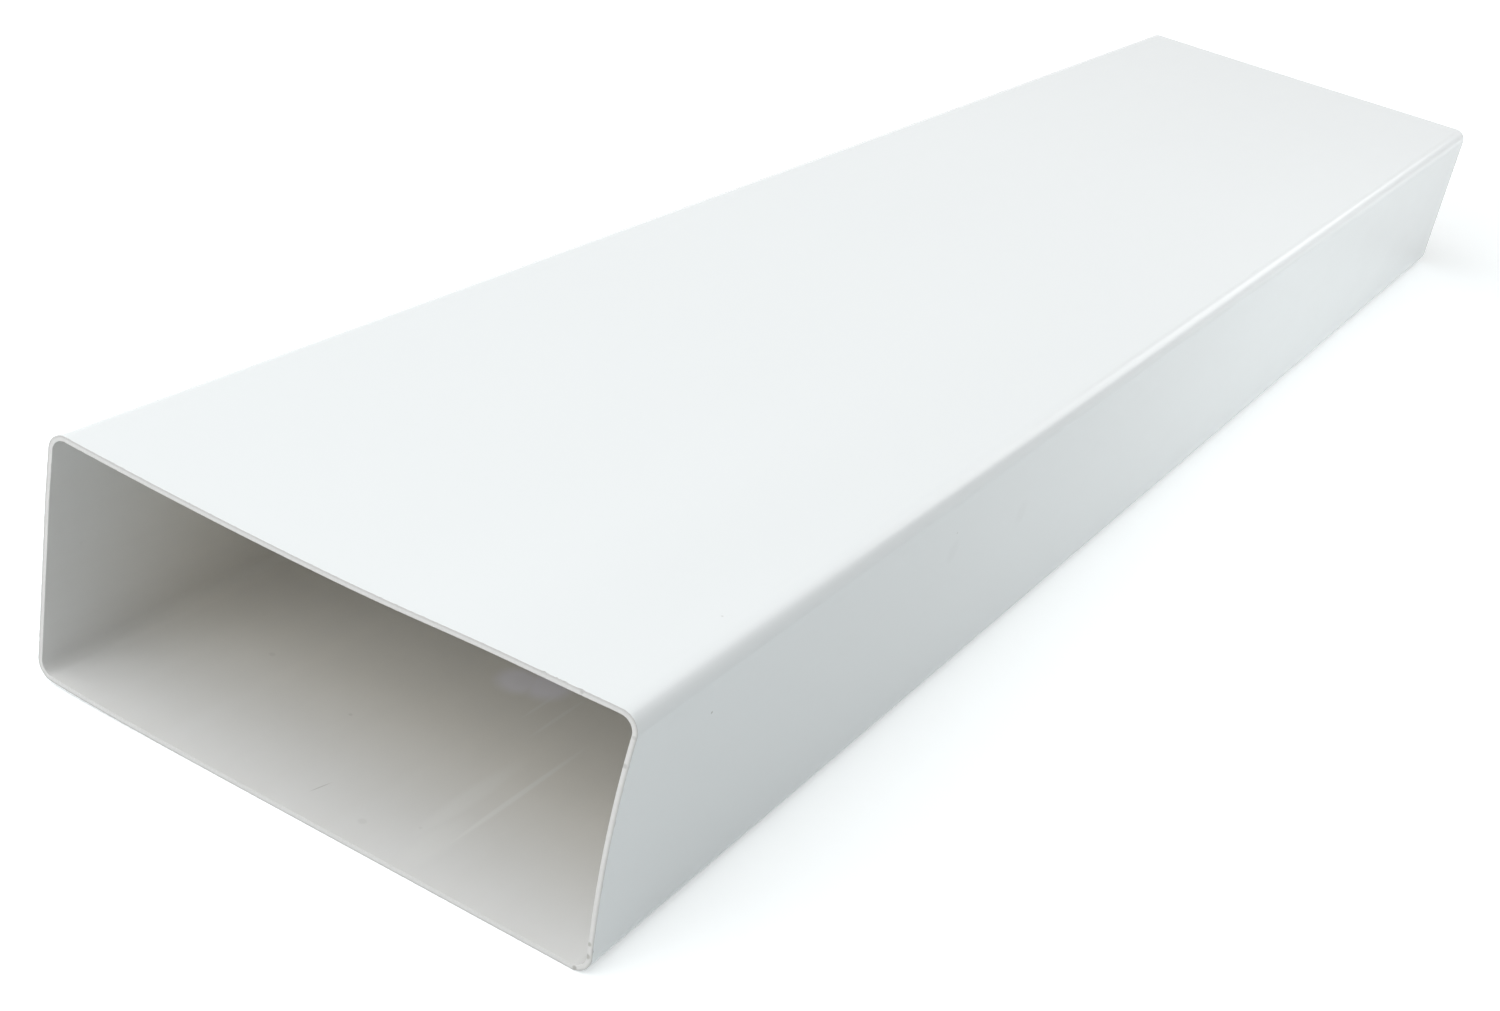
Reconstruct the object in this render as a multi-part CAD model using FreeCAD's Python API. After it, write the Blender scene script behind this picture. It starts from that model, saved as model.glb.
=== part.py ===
import FreeCAD, Part
import math
import os

# Flat channel duct: one length of rigid white PVC, extruded as a closed rectangular tube and sawn square.
# Sizes are in millimetres. X runs across the width, Y along the length and Z up from the floor.
# The origin is on the floor, under the middle of the duct.

# Driving dimensions
WIDTH = 220.0  # outside, across the rounded corners
HEIGHT = 90.0  # outside, from the floor to the top of the upper corners
LENGTH = 1000.0  # from one sawn end to the other
WALL = 1.8  # thickness, the same all the way round
INSIDE_RADIUS = 4.6  # of the four long corners, inside the duct
TOP_HOLLOW = 2.4  # how far the middle of the top wall dips below the upper corners
SIDE_HOLLOW = 0.8  # how far the middle of each side wall stands in from its corners

# The four long corners are arcs about these centres, outside and inside alike, so the wall stays even
OUTSIDE_RADIUS = INSIDE_RADIUS + WALL
CENTRE_X = WIDTH / 2 - OUTSIDE_RADIUS
LOW_CENTRE_Z = OUTSIDE_RADIUS
HIGH_CENTRE_Z = HEIGHT - OUTSIDE_RADIUS
MIDDLE_Z = HEIGHT / 2

# A hollow wall is a shallow arc that runs smoothly into the corners at its two ends,
# so each corner turns past the square by the angle at which that arc meets it
TOP_TURN = 2 * math.degrees(math.atan2(TOP_HOLLOW, CENTRE_X))
SIDE_TURN = 2 * math.degrees(math.atan2(SIDE_HOLLOW, MIDDLE_Z - OUTSIDE_RADIUS))

NEAR_END_Y = -LENGTH / 2
LEAST_HOLLOW = 1e-6  # a wall that dips less than this is drawn straight


def section_point(x, z):
    """Point of the section, which is drawn at the near end of the duct."""
    return FreeCAD.Vector(x, NEAR_END_Y, z)


def corner_point(centre_x, centre_z, radius, degrees):
    """Point of a corner's arc, at an angle counted from +X towards +Z."""
    angle = math.radians(degrees)
    return section_point(centre_x + radius * math.cos(angle), centre_z + radius * math.sin(angle))


def corner_edge(centre_x, centre_z, radius, first_degrees, last_degrees):
    """Rounded corner of the section, from its first angle to its last."""
    middle_degrees = (first_degrees + last_degrees) / 2
    arc = Part.Arc(
        corner_point(centre_x, centre_z, radius, first_degrees),
        corner_point(centre_x, centre_z, radius, middle_degrees),
        corner_point(centre_x, centre_z, radius, last_degrees),
    )
    return arc.toShape()


def wall_edge(before, middle, after):
    """Wall of the section between two corners: an arc through its middle, or straight if it isn't hollow."""
    start = before.lastVertex(True).Point
    end = after.firstVertex(True).Point
    if middle.distanceToLine(start, end - start) < LEAST_HOLLOW:
        return Part.LineSegment(start, end).toShape()
    return Part.Arc(start, middle, end).toShape()


def section_outline(radius):
    """Closed outline of the section whose corners have this radius, with every wall tangent to its corners."""
    low_right = corner_edge(CENTRE_X, LOW_CENTRE_Z, radius, -90, SIDE_TURN)
    high_right = corner_edge(CENTRE_X, HIGH_CENTRE_Z, radius, -SIDE_TURN, 90 + TOP_TURN)
    high_left = corner_edge(-CENTRE_X, HIGH_CENTRE_Z, radius, 90 - TOP_TURN, 180 + SIDE_TURN)
    low_left = corner_edge(-CENTRE_X, LOW_CENTRE_Z, radius, 180 - SIDE_TURN, 270)

    side_x = CENTRE_X + radius - SIDE_HOLLOW
    right_middle = section_point(side_x, MIDDLE_Z)
    top_middle = section_point(0, HIGH_CENTRE_Z + radius - TOP_HOLLOW)
    left_middle = section_point(-side_x, MIDDLE_Z)
    bottom_middle = section_point(0, LOW_CENTRE_Z - radius)

    return Part.Wire([
        low_right,
        wall_edge(low_right, right_middle, high_right),
        high_right,
        wall_edge(high_right, top_middle, high_left),
        high_left,
        wall_edge(high_left, left_middle, low_left),
        low_left,
        wall_edge(low_left, bottom_middle, low_right),
    ])


def extruded(outline):
    """Solid bar with this outline, as long as the duct."""
    return Part.Face(outline).extrude(FreeCAD.Vector(0, LENGTH, 0))


# The duct: the outer bar with the air passage taken out of it from end to end
outside = extruded(section_outline(OUTSIDE_RADIUS))
passage = extruded(section_outline(INSIDE_RADIUS))
duct = outside.cut(passage)

os.makedirs("parts", exist_ok=True)
duct.exportStep("parts/duct.step")
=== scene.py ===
import math

import bmesh
import bpy
from mathutils import Matrix, Vector, noise


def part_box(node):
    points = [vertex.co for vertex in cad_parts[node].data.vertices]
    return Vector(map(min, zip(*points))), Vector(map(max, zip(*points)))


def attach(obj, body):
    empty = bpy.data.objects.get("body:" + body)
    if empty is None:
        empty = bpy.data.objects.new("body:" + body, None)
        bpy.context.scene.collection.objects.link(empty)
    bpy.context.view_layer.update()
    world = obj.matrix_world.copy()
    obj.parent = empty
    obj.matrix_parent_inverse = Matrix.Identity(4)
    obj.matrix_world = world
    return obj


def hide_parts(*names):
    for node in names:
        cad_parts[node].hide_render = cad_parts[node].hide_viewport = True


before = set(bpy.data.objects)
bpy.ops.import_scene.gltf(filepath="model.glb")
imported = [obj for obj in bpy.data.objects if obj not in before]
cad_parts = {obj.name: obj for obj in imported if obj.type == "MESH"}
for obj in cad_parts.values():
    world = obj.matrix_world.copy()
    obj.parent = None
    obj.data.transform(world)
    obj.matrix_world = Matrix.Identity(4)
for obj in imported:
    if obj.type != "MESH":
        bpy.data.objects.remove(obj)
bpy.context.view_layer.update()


# The duct: one length of flat channel, extruded in rigid white PVC and sawn to length. Its long corners are
# round. At the near sawn end, where the walls have let go of their stress, the wide top has sunk, the right
# side stands in and the lower left corner is pulled in and up. Further on it runs true.
WALL = 0.0018  # thickness in metres, the same all the way round
CORNER_RADIUS = 0.0064  # outside, of the four long corners
TOP_HOLLOW = 0.0024  # how far the middle of the top dips at the near end
SIDE_HOLLOW = 0.0008  # how far the middle of each side stands in there
FAR_HOLLOW_SHARE = 0.1  # of both hollows, left at the far end
HOLLOW_REACH = 0.40  # along the length, over which they fade
TOP_CROWN = 0.0009  # how much less the top dips on the right, about the next place
TOP_CROWN_X = 0.058
TOP_CROWN_REACH = 0.032
END_SIDE_SWAY = 0.0008  # of both sides' middles to the left, so the left one is straight
END_CORNER_LIFT = 0.0019  # of the lower left corner
END_LIFT_FADE = 2  # power by which that lift fades up the left side
END_LEFT_LEAN = 0.0016  # of the left side's foot, inwards
END_LEAN_HEIGHT = 0.066  # up to which the left side leans
END_PULL_FADE = 4  # power by which the left side's lift and lean fade across the width
END_REACH = 0.16  # along the length, over which the near end's own shape fades
low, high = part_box("duct")
near_end, far_end = low.y, high.y
middle_y = (near_end + far_end) / 2
middle_z = (low.z + high.z) / 2
flat_half_width = high.x - CORNER_RADIUS
flat_half_height = middle_z - low.z - CORNER_RADIUS

# The mesh: steps round a corner, the spacing of points along a wall, the rings' distances from each end,
# the strips across the sawn face and the small break of its edges, with a hair over it to find its points
CORNER_STEPS = 14
POINT_SPACING = 0.0006
RING_DISTANCES = (
    0.00025, 0.0007, 0.0015, 0.003, 0.007, 0.016, 0.035, 0.06, 0.09, 0.13, 0.17, 0.22, 0.28, 0.34, 0.42,
)
RIM_STRIPS = 4
RIM_EDGE_BREAK = 0.00012
RIM_EDGE_STEPS = 2
RIM_MARGIN = 1.01

OUTSIDE, INSIDE, SAWN = range(3)


def hollow_share(offset, half_span):
    """How hollow a wall is at a distance from its middle: all of it there, nothing at its corners."""
    return max(0.0, 1.0 - (offset / half_span) ** 2)


def near_share(along, reach):
    """One at the near end, falling smoothly to nothing some way past the reach."""
    return math.exp(-((along - near_end) / reach) ** 2)


def wall_place(point):
    """Where a point of the plain rounded section lies on the real duct."""
    across, along, up = point
    end_share = near_share(along, END_REACH)
    sunk_share = FAR_HOLLOW_SHARE + (1.0 - FAR_HOLLOW_SHARE) * near_share(along, HOLLOW_REACH)
    moved = point.copy()
    if up > middle_z + flat_half_height:
        sunk = TOP_HOLLOW * hollow_share(across, flat_half_width)
        crown = TOP_CROWN * math.exp(-((across - TOP_CROWN_X) / TOP_CROWN_REACH) ** 2)
        moved.z -= max(0.0, sunk - crown) * sunk_share
    if abs(across) > flat_half_width:
        side_share = hollow_share(up - middle_z, flat_half_height)
        moved.x -= math.copysign(SIDE_HOLLOW, across) * side_share * sunk_share
        moved.x -= END_SIDE_SWAY * side_share * end_share
    left_share = max(0.0, -across / high.x) ** END_PULL_FADE * end_share
    moved.z += END_CORNER_LIFT * left_share * (1.0 - up / high.z) ** END_LIFT_FADE
    moved.x += END_LEFT_LEAN * left_share * max(0.0, 1.0 - up / END_LEAN_HEIGHT)
    return moved


duct_mesh = bmesh.new()
through_wall = duct_mesh.verts.layers.float.new("through_wall")
section_corners = [
    duct_mesh.verts.new((x, near_end, z))
    for x, z in ((low.x, low.z), (high.x, low.z), (high.x, high.z), (low.x, high.z))
]
duct_mesh.faces.new(section_corners)
bmesh.ops.bevel(
    duct_mesh, geom=section_corners, offset=CORNER_RADIUS, segments=CORNER_STEPS, profile=0.5,
    affect="VERTICES", material=-1,
)
bmesh.ops.delete(duct_mesh, geom=duct_mesh.faces[:], context="FACES_ONLY")
for wall_line in [edge for edge in duct_mesh.edges if edge.calc_length() > CORNER_RADIUS]:
    points_between = round(wall_line.calc_length() / POINT_SPACING) - 1
    bmesh.ops.subdivide_edges(duct_mesh, edges=[wall_line], cuts=points_between)

# The section's outline is inset by the wall, the passage is opened, and the wall grows from ring to ring
section = bmesh.ops.edgeloop_fill(duct_mesh, edges=duct_mesh.edges[:])["faces"]
ring_faces = bmesh.ops.inset_region(
    duct_mesh, faces=section, thickness=WALL, use_boundary=True, use_even_offset=True,
)["faces"]
passage = [face for face in duct_mesh.faces if face not in set(ring_faces)]
for point in passage[0].verts:
    point[through_wall] = 1.0
bmesh.ops.delete(duct_mesh, geom=passage, context="FACES_ONLY")

ring_places = [near_end + distance for distance in RING_DISTANCES]
ring_places.append(middle_y)
ring_places.extend(far_end - distance for distance in reversed(RING_DISTANCES))
ring_places.append(far_end)
near_face = ring_faces
ring_y = near_end
for ring_place in ring_places:
    ring_edges = {edge for face in ring_faces for edge in face.edges}
    grown = bmesh.ops.extrude_face_region(duct_mesh, geom=[*ring_faces, *ring_edges])["geom"]
    ring_points = [part for part in grown if isinstance(part, bmesh.types.BMVert)]
    ring_faces = [part for part in grown if isinstance(part, bmesh.types.BMFace)]
    bmesh.ops.translate(duct_mesh, verts=ring_points, vec=(0, ring_place - ring_y, 0))
    ring_y = ring_place

for face in duct_mesh.faces:
    face.smooth = True
    if all(point[through_wall] == 1.0 for point in face.verts):
        face.material_index = INSIDE
for face in near_face + ring_faces:
    face.material_index = SAWN
for point in duct_mesh.verts:
    point.co = wall_place(point.co)
bmesh.ops.recalc_face_normals(duct_mesh, faces=duct_mesh.faces[:])

across_rim = {
    edge
    for face in duct_mesh.faces
    if face.material_index == SAWN
    for edge in face.edges
    if edge.verts[0][through_wall] != edge.verts[1][through_wall]
}
bmesh.ops.subdivide_edges(duct_mesh, edges=list(across_rim), cuts=RIM_STRIPS - 1)
rim_edges = [
    edge
    for edge in duct_mesh.edges
    if len({face.material_index == SAWN for face in edge.link_faces}) == 2
]
bmesh.ops.bevel(
    duct_mesh, geom=rim_edges, offset=RIM_EDGE_BREAK, segments=RIM_EDGE_STEPS, profile=0.5,
    affect="EDGES", material=-1,
)

# The saw has left fine marks on the cut and torn its outer edge, most of all where the blade came out.
# Each torn stretch has its place across and up, how far it reaches and how badly it is torn. The tear
# fades by a power from the outer edge to the inner one.
SAW_MARK_DEPTH = 0.00005
SAW_MARK_SIZE = 0.0016
BURR_HEIGHT = 0.0011
BURR_HOLLOW = 0.0005
BURR_SIZE = 0.0014
FAINT_TEAR = 0.12
TEAR_FADE = 3
TORN_STRETCHES = (
    ((0.0800, 0.0890), 0.0075, 1.0),
    ((0.0905, 0.0892), 0.0030, 1.0),
    ((0.1095, 0.0830), 0.0025, 0.5),
    ((0.1085, 0.0730), 0.0025, 0.6),
    ((0.1095, 0.0090), 0.0040, 0.7),
    ((0.1050, 0.0000), 0.0030, 0.6),
)


def tear_share(point):
    """How badly the edge is torn at a point of the rim."""
    place = Vector((point.x, point.z))
    shares = [
        share * max(0.0, 1.0 - (place - Vector(stretch)).length / reach)
        for stretch, reach, share in TORN_STRETCHES
    ]
    return max(FAINT_TEAR, *shares)


def out_of_section(point):
    """Direction square to the wall, out of the duct, at a point of the section."""
    core_x = max(-flat_half_width, min(flat_half_width, point.x))
    core_z = max(middle_z - flat_half_height, min(middle_z + flat_half_height, point.z))
    return Vector((point.x - core_x, 0.0, point.z - core_z)).normalized()


rim_depth = RIM_EDGE_BREAK * RIM_MARGIN
rim_points = [
    point for point in duct_mesh.verts if min(point.co.y - near_end, far_end - point.co.y) < rim_depth
]
on_rim = set(rim_points)
for face in duct_mesh.faces:
    if on_rim.issuperset(face.verts):
        face.material_index = SAWN
for point in rim_points:
    into_duct = 1.0 if point.co.y < middle_y else -1.0
    outer_share = (1.0 - point[through_wall]) ** TEAR_FADE
    mark = 0.5 + 0.5 * noise.noise(point.co / SAW_MARK_SIZE)
    torn = noise.noise(point.co / BURR_SIZE) * tear_share(point.co) * outer_share
    burr = out_of_section(point.co) * BURR_HEIGHT * max(0.0, torn)
    point.co.y += into_duct * (SAW_MARK_DEPTH * mark + BURR_HOLLOW * max(0.0, -torn))
    point.co.x = max(low.x, min(high.x, point.co.x + burr.x))
    point.co.z = max(low.z, min(high.z, point.co.z + burr.z))
duct_mesh.normal_update()

duct_data = bpy.data.meshes.new("white_duct")
duct_mesh.to_mesh(duct_data)
duct_mesh.free()
duct = bpy.data.objects.new("white_duct", duct_data)
bpy.context.scene.collection.objects.link(duct)


def fill(tree, socket, value):
    """Link another node's output to a socket, or set the socket to a plain value."""
    if isinstance(value, bpy.types.NodeSocket):
        tree.links.new(value, socket)
    else:
        socket.default_value = value


def add_node(tree, kind, **inputs):
    """New node in a material, with its inputs filled by name, or by number after an underscore."""
    node = tree.nodes.new(kind)
    for name, value in inputs.items():
        key = int(name[1:]) if name[0] == "_" else name.replace("_", " ")
        fill(tree, node.inputs[key], value)
    return node


def sum_of(tree, kind, first, second):
    """Result of one of the Math node's sums on two values."""
    node = add_node(tree, "ShaderNodeMath", _0=first, _1=second)
    node.operation = kind
    return node.outputs["Value"]


def grain(tree, places, stretch, detail):
    """Noise over the surface, in repeats per metre along X, Y and Z."""
    mapping = add_node(tree, "ShaderNodeMapping", Vector=places, Scale=stretch)
    pattern = add_node(
        tree, "ShaderNodeTexNoise", Vector=mapping.outputs["Vector"], Scale=1.0, Detail=detail,
    )
    return pattern.outputs["Fac"]


def spread(tree, value, from_low, from_high, to_low, to_high):
    """A value carried smoothly from one range to another."""
    node = add_node(
        tree, "ShaderNodeMapRange", Value=value,
        From_Min=from_low, From_Max=from_high, To_Min=to_low, To_Max=to_high,
    )
    node.interpolation_type = "SMOOTHSTEP"
    return node.outputs["Result"]


def stained(tree, clean, mask, stain):
    """A colour with a stain laid over it where the mask says."""
    mix = tree.nodes.new("ShaderNodeMix")
    mix.data_type = "RGBA"
    colours = [socket for socket in mix.inputs if socket.type == "RGBA"]
    for socket, value in zip((mix.inputs["Factor"], *colours), (mask, clean, stain)):
        fill(tree, socket, value)
    return next(socket for socket in mix.outputs if socket.type == "RGBA")


def marks(tree, places, spots):
    """Mask of single soft marks: each one's place, half sizes along its axes, turn about Z and strength."""
    mask = 0.0
    for place, half_sizes, turn, strength in spots:
        own_axes = add_node(
            tree, "ShaderNodeMapping", Vector=places,
            Location=place, Rotation=(0.0, 0.0, turn), Scale=half_sizes,
        )
        own_axes.vector_type = "TEXTURE"
        reach = add_node(tree, "ShaderNodeVectorMath", _0=own_axes.outputs["Vector"])
        reach.operation = "LENGTH"
        spot = spread(tree, reach.outputs["Value"], MARK_CORE, 1.0, strength, 0.0)
        mask = sum_of(tree, "MAXIMUM", mask, spot)
    return mask


def specks(tree, places, spots):
    """Mask of small round marks: each one's place, radius and strength."""
    round_marks = [(place, (radius, radius, radius), 0.0, strength) for place, radius, strength in spots]
    return marks(tree, places, round_marks)


def bump(tree, height, depth, normal=None):
    """Fine relief of a surface, with its depth in metres, over another relief if there is one."""
    node = add_node(tree, "ShaderNodeBump", Height=height, Distance=depth)
    if normal is not None:
        tree.links.new(normal, node.inputs["Normal"])
    return node.outputs["Normal"]


def new_finish(name):
    """Material of the plastic, with the places on the object that its patterns follow."""
    material = bpy.data.materials.new(name)
    material.use_nodes = True
    tree = material.node_tree
    shader = tree.nodes["Principled BSDF"]
    shader.inputs["IOR"].default_value = PVC_IOR
    places = add_node(tree, "ShaderNodeTexCoord").outputs["Object"]
    return material, tree, shader, places


# Outside: the smooth, glossy skin that the calibrator leaves, with faint lines along the length
# and a few grains of dust. Each grain has its place, radius and strength.
PVC_IOR = 1.53
MARK_CORE = 0.35
GLOSS_WHITE = (0.853, 0.889, 0.896, 1.0)
GLOSS_WHITE_SHADE = (0.836, 0.873, 0.881, 1.0)
GLOSS_LOW, GLOSS_HIGH = 0.17, 0.19
GRAIN_LOW, GRAIN_HIGH = 0.3, 0.7
SKIN_RELIEF = 0.000008
CLOUD_GRAIN = (9.0, 3.0, 9.0)
GLOSS_GRAIN = (60.0, 20.0, 60.0)
DIE_GRAIN = (260.0, 0.8, 260.0)
PEEL_GRAIN = (90.0, 50.0, 90.0)
DUST = (0.30, 0.29, 0.26, 1.0)
OUTSIDE_SPECKS = (
    ((0.1095, near_end + 0.0469, 0.0705), 0.0008, 0.75),
    ((0.1093, near_end + 0.0804, 0.0393), 0.0006, 0.5),
    ((0.1096, near_end + 0.0790, 0.0845), 0.0005, 0.3),
    ((0.1094, near_end + 0.2212, 0.0697), 0.0006, 0.4),
    ((0.0701, near_end + 0.0314, 0.0887), 0.0007, 0.4),
    ((0.0966, near_end + 0.0670, 0.0897), 0.0006, 0.3),
    ((0.1093, near_end + 0.2221, 0.0616), 0.0060, 0.04),
    ((0.1093, near_end + 0.2895, 0.0547), 0.0070, 0.04),
)
outside_finish, tree, shader, places = new_finish("glossy_pvc")
clouds = grain(tree, places, CLOUD_GRAIN, detail=2.0)
white = stained(tree, GLOSS_WHITE, clouds, GLOSS_WHITE_SHADE)
white = stained(tree, white, specks(tree, places, OUTSIDE_SPECKS), DUST)
gloss = grain(tree, places, GLOSS_GRAIN, detail=3.0)
roughness = spread(tree, gloss, GRAIN_LOW, GRAIN_HIGH, GLOSS_LOW, GLOSS_HIGH)
die_lines = bump(tree, grain(tree, places, DIE_GRAIN, detail=3.0), SKIN_RELIEF)
peel = bump(tree, grain(tree, places, PEEL_GRAIN, detail=2.0), SKIN_RELIEF, die_lines)
fill(tree, shader.inputs["Base Color"], white)
fill(tree, shader.inputs["Roughness"], roughness)
fill(tree, shader.inputs["Normal"], peel)

# Inside: the same plastic, cooled in air, so it is duller. Away from the mouth its colour is painted ivory,
# as painted warm light bounced deep inside. Faint drag lines run along it, and on the floor near the right
# side a few lighter streaks are painted as highlights where they catch the light. There are a scratch and
# some dust as well, and a bluish patch painted as a reflection on the floor.
MOUTH_WHITE = (0.800, 0.806, 0.802, 1.0)
# painted warmth deep inside, standing for warm light bounced from wall to wall
PAINTED_DEEP_WARMTH = (0.828, 0.804, 0.751, 1.0)
DEEP_WARMTH_FROM, DEEP_WARMTH_FULL = 0.004, 0.085
DRAG_SHADE = (0.74, 0.735, 0.705, 1.0)
DRAG_STRENGTH = 0.35
INNER_GLOSS = 0.26
DRAG_RELIEF = 0.00002
DRAG_GRAIN = (150.0, 0.6, 150.0)
# painted highlight, where the streaks catch the light
STREAK_HIGHLIGHT = (0.92, 0.93, 0.91, 1.0)
# bluish reflection painted on the floor deep inside
PAINTED_REFLECTION = (0.95, 0.93, 1.0, 1.0)
STREAK_HEIGHT = 0.004

# Each painted highlight streak has its place across and in from the mouth, its half width, half length and
# strength
HIGHLIGHT_STREAKS = (
    (0.0434, 0.057, 0.0014, 0.050, 0.45),
    (0.0330, 0.046, 0.0046, 0.036, 0.24),
    (0.0395, 0.020, 0.0070, 0.022, 0.20),
    (0.0175, 0.113, 0.0009, 0.020, 0.35),
    (0.0262, 0.106, 0.0010, 0.022, 0.30),
)
# the painted reflection, laid as two wide streaks in the same columns
REFLECTION_STREAKS = (
    (0.0030, 0.116, 0.0110, 0.012, 0.80),
    (0.0120, 0.121, 0.0110, 0.014, 0.90),
)
SCRATCHES = (
    ((-0.0036, near_end + 0.0165, WALL), (0.0003, 0.0055, STREAK_HEIGHT), math.radians(-11.0), 0.35),
)
INSIDE_SPECKS = (
    ((-0.1065, near_end + 0.0150, 0.0455), 0.0016, 0.16),
    ((-0.1065, near_end + 0.0329, 0.0434), 0.0012, 0.35),
    ((-0.1065, near_end + 0.0299, 0.0369), 0.0010, 0.25),
    ((-0.0655, near_end + 0.0653, WALL), 0.0016, 0.12),
    ((-0.0235, near_end + 0.0559, WALL), 0.0010, 0.18),
    ((0.0171, near_end + 0.0116, WALL), 0.0020, 0.10),
    ((0.0319, near_end + 0.0218, WALL), 0.0009, 0.08),
)


def along_floor(lines):
    """Marks that run along the inside floor: how far across and in, half width, half length, strength."""
    return [
        ((across, near_end + inwards, WALL), (half_width, half_length, STREAK_HEIGHT), 0.0, strength)
        for across, inwards, half_width, half_length, strength in lines
    ]


inside_finish, tree, shader, places = new_finish("satin_pvc")
drag = grain(tree, places, DRAG_GRAIN, detail=3.0)
along = add_node(tree, "ShaderNodeSeparateXYZ", Vector=places).outputs["Y"]
from_mouth = sum_of(tree, "SUBTRACT", far_end, sum_of(tree, "ABSOLUTE", along, 0.0))
# the painted warmth grows from the mouth inwards
deep_warmth = spread(tree, from_mouth, DEEP_WARMTH_FROM, DEEP_WARMTH_FULL, 0.0, 1.0)
white = stained(tree, MOUTH_WHITE, deep_warmth, PAINTED_DEEP_WARMTH)
white = stained(tree, white, sum_of(tree, "MULTIPLY", drag, DRAG_STRENGTH), DRAG_SHADE)
# lighter streaks painted as highlights on the floor
white = stained(tree, white, marks(tree, places, along_floor(HIGHLIGHT_STREAKS)), STREAK_HIGHLIGHT)
# painted reflection on the floor deep inside
white = stained(tree, white, marks(tree, places, along_floor(REFLECTION_STREAKS)), PAINTED_REFLECTION)
white = stained(tree, white, marks(tree, places, SCRATCHES), DUST)
white = stained(tree, white, specks(tree, places, INSIDE_SPECKS), DUST)
fill(tree, shader.inputs["Base Color"], white)
fill(tree, shader.inputs["Roughness"], INNER_GLOSS)
fill(tree, shader.inputs["Normal"], bump(tree, drag, DRAG_RELIEF))

# Sawn ends: dull and slightly rough, darker along the torn outer edge, partly dirt and partly painted
# shade, with dirt caught in it
SAWN_WHITE = (0.71, 0.705, 0.695, 1.0)
SAWN_SHADE = (0.63, 0.625, 0.61, 1.0)
# darker outer edge: partly dirt, partly painted shade of the edge's rounding and of the contact line under
# it
EDGE_DIRT_AND_SHADE = (0.50, 0.495, 0.485, 1.0)
EDGE_DIRT_AND_SHADE_DEPTH = 0.55
SAWN_GLOSS = 0.6
SAW_RELIEF = 0.00004
DUST_GRAIN = (700.0, 300.0, 700.0)
SAW_GRAIN = (300.0, 300.0, 1800.0)
RIM_SPECKS = (
    ((0.1080, near_end, 0.0732), 0.0011, 0.40),
    ((0.1082, near_end, 0.0114), 0.0010, 0.60),
    ((0.1084, near_end, 0.0071), 0.0012, 0.65),
    ((0.1050, near_end, 0.0011), 0.0010, 0.60),
    ((0.1091, near_end, 0.0830), 0.0009, 0.30),
    ((0.0905, near_end, 0.0890), 0.0008, 0.40),
)
sawn_finish, tree, shader, places = new_finish("sawn_pvc")
white = stained(tree, SAWN_WHITE, grain(tree, places, DUST_GRAIN, detail=3.0), SAWN_SHADE)
wall_depth = tree.nodes.new("ShaderNodeAttribute")
wall_depth.attribute_name = "through_wall"
# dirt and painted shade, strongest at the outer edge and gone part way through the wall
edge_dirt_and_shade = spread(tree, wall_depth.outputs["Fac"], 0.0, EDGE_DIRT_AND_SHADE_DEPTH, 1.0, 0.0)
white = stained(tree, white, edge_dirt_and_shade, EDGE_DIRT_AND_SHADE)
white = stained(tree, white, specks(tree, places, RIM_SPECKS), DUST)
fill(tree, shader.inputs["Base Color"], white)
fill(tree, shader.inputs["Roughness"], SAWN_GLOSS)
saw_lines = grain(tree, places, SAW_GRAIN, detail=2.0)
fill(tree, shader.inputs["Normal"], bump(tree, saw_lines, SAW_RELIEF))

for finish in (outside_finish, inside_finish, sawn_finish):
    duct.data.materials.append(finish)
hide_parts("duct")
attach(duct, "root")


# The floor: a plain pale sheet that the duct lies on. It lights the duct as a pale grey would,
# and shows white to the eye and in the gloss, with the duct's shadow on it. Away from the lamps, where
# it would turn grey, it is lifted more.
FLOOR_HALF = 6.0
FLOOR_PALE = (0.765, 0.800, 0.806, 1.0)
FLOOR_LIFT, FAR_FLOOR_LIFT = 0.40, 1.0
LIFT_FROM, LIFT_FULL = 0.6, 1.7


def seen_by_eye(tree):
    """One for what the camera sees, straight or by way of gloss or glass, and nothing for other light."""
    path = tree.nodes.new("ShaderNodeLightPath").outputs
    seen = sum_of(tree, "MAXIMUM", path["Is Camera Ray"], path["Is Glossy Ray"])
    return sum_of(tree, "MAXIMUM", seen, path["Is Transmission Ray"])


floor_mesh = bmesh.new()
bmesh.ops.create_grid(floor_mesh, x_segments=1, y_segments=1, size=FLOOR_HALF)
floor_data = bpy.data.meshes.new("floor")
floor_mesh.to_mesh(floor_data)
floor_mesh.free()
floor = bpy.data.objects.new("floor", floor_data)
bpy.context.scene.collection.objects.link(floor)
floor_finish = bpy.data.materials.new("pale_floor")
floor_finish.use_nodes = True
tree = floor_finish.node_tree
tree.nodes.clear()
paper = add_node(tree, "ShaderNodeBsdfDiffuse", Color=FLOOR_PALE)
places = add_node(tree, "ShaderNodeTexCoord").outputs["Object"]
from_middle = add_node(tree, "ShaderNodeVectorMath", _0=places)
from_middle.operation = "LENGTH"
rise = spread(tree, from_middle.outputs["Value"], LIFT_FROM, LIFT_FULL, FLOOR_LIFT, FAR_FLOOR_LIFT)
lift = sum_of(tree, "MULTIPLY", seen_by_eye(tree), rise)
glow = add_node(tree, "ShaderNodeEmission", Strength=lift)
both = add_node(tree, "ShaderNodeAddShader", _0=paper.outputs["BSDF"], _1=glow.outputs["Emission"])
add_node(tree, "ShaderNodeOutputMaterial", Surface=both.outputs["Shader"])
floor.data.materials.append(floor_finish)


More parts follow.
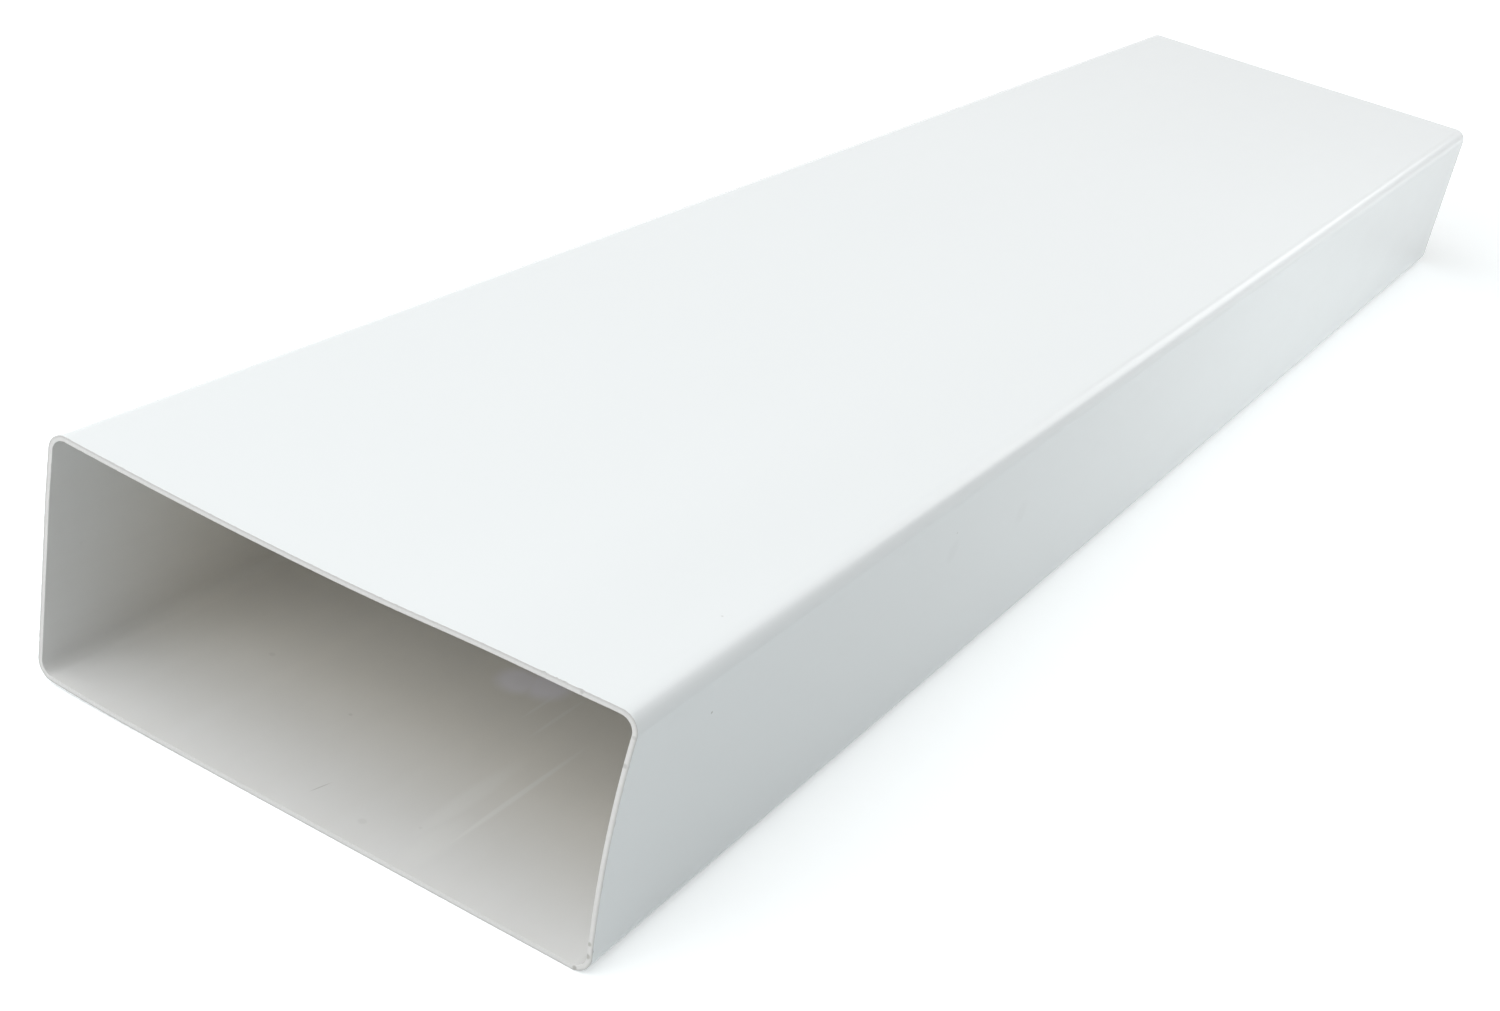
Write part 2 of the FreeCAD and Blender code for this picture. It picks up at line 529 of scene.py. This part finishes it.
# The light: a white room and eight soft lamps. Those overhead and in front light the top and the open end,
# those on the left and at the back fill the other sides, and a small one with a grid lights the right side.
# Most stay out of the gloss, which they would whiten. The last one draws the long edge's highlight.
ROOM_LIGHT, ROOM_SEEN = 0.14, 1.0
ROOM_WHITE = (1.0, 1.0, 1.0, 1.0)
WIDE = math.radians(180)
GRID = math.radians(100)
room = bpy.data.worlds.new("white_room")
room.use_nodes = True
tree = room.node_tree
tree.nodes.clear()
strength = spread(tree, seen_by_eye(tree), 0.0, 1.0, ROOM_LIGHT, ROOM_SEEN)
walls = add_node(tree, "ShaderNodeBackground", Color=ROOM_WHITE, Strength=strength)
add_node(tree, "ShaderNodeOutputWorld", Surface=walls.outputs["Background"])
bpy.context.scene.world = room


def soft_lamp(name, place, aim, size, power, spread_angle=WIDE, in_gloss=True):
    """Square lamp of a size in metres and a power in watts, at a place and turned towards a point."""
    data = bpy.data.lights.new(name, "AREA")
    data.size = size
    data.energy = power
    data.spread = spread_angle
    lamp = bpy.data.objects.new(name, data)
    lamp.visible_glossy = in_gloss
    lamp.location = place
    lamp.rotation_euler = (Vector(aim) - Vector(place)).to_track_quat("-Z", "Y").to_euler()
    bpy.context.scene.collection.objects.link(lamp)


soft_lamp("over_lamp", (0.4, -0.25, 2.0), (0.1, -0.1, 0.0), 2.2, 15.8)
soft_lamp("left_front_lamp", (-1.2, -1.6, 1.6), (0.0, -0.4, 0.05), 2.6, 34.5, in_gloss=False)
soft_lamp("front_lamp", (0.0, -2.4, 1.1), (0.0, -0.5, 0.05), 2.2, 21.3, in_gloss=False)
soft_lamp("left_lamp", (-1.7, 0.0, 0.75), (-0.1, 0.0, 0.05), 1.4, 7.0, in_gloss=False)
soft_lamp(
    "right_lamp", (0.8, 0.20, 0.32), (0.1, 0.27, 0.04), 0.5, 0.54, spread_angle=GRID, in_gloss=False,
)
soft_lamp("back_over_lamp", (0.2, 1.9, 1.9), (0.0, 0.5, 0.05), 1.4, 5.0)
soft_lamp("back_lamp", (0.9, 2.4, 1.0), (0.0, 0.2, 0.05), 1.2, 2.1, in_gloss=False)
soft_lamp("edge_lamp", (0.72, 2.47, 1.15), (0.0, 0.2, 0.05), 0.95, 3.5)


# The camera: it stands where the photograph was taken from, tilted the same way, with a slightly wider lens
# that takes in the whole length.
EYE = Vector((0.340, -0.9655, 0.4095))
AIM = Vector((0.0263, -0.2760, 0.0450))
ROLL = math.radians(12.34)
LENS = 53.4
NEAREST_SEEN = 0.01
camera_data = bpy.data.cameras.new("camera")
camera_data.lens = LENS
camera_data.clip_start = NEAREST_SEEN
camera = bpy.data.objects.new("camera", camera_data)
camera.matrix_world = (
    Matrix.Translation(EYE)
    @ (AIM - EYE).to_track_quat("-Z", "Y").to_matrix().to_4x4()
    @ Matrix.Rotation(ROLL, 4, "Z")
)
bpy.context.scene.collection.objects.link(camera)
bpy.context.scene.camera = camera
bpy.context.scene.view_settings.view_transform = "Standard"
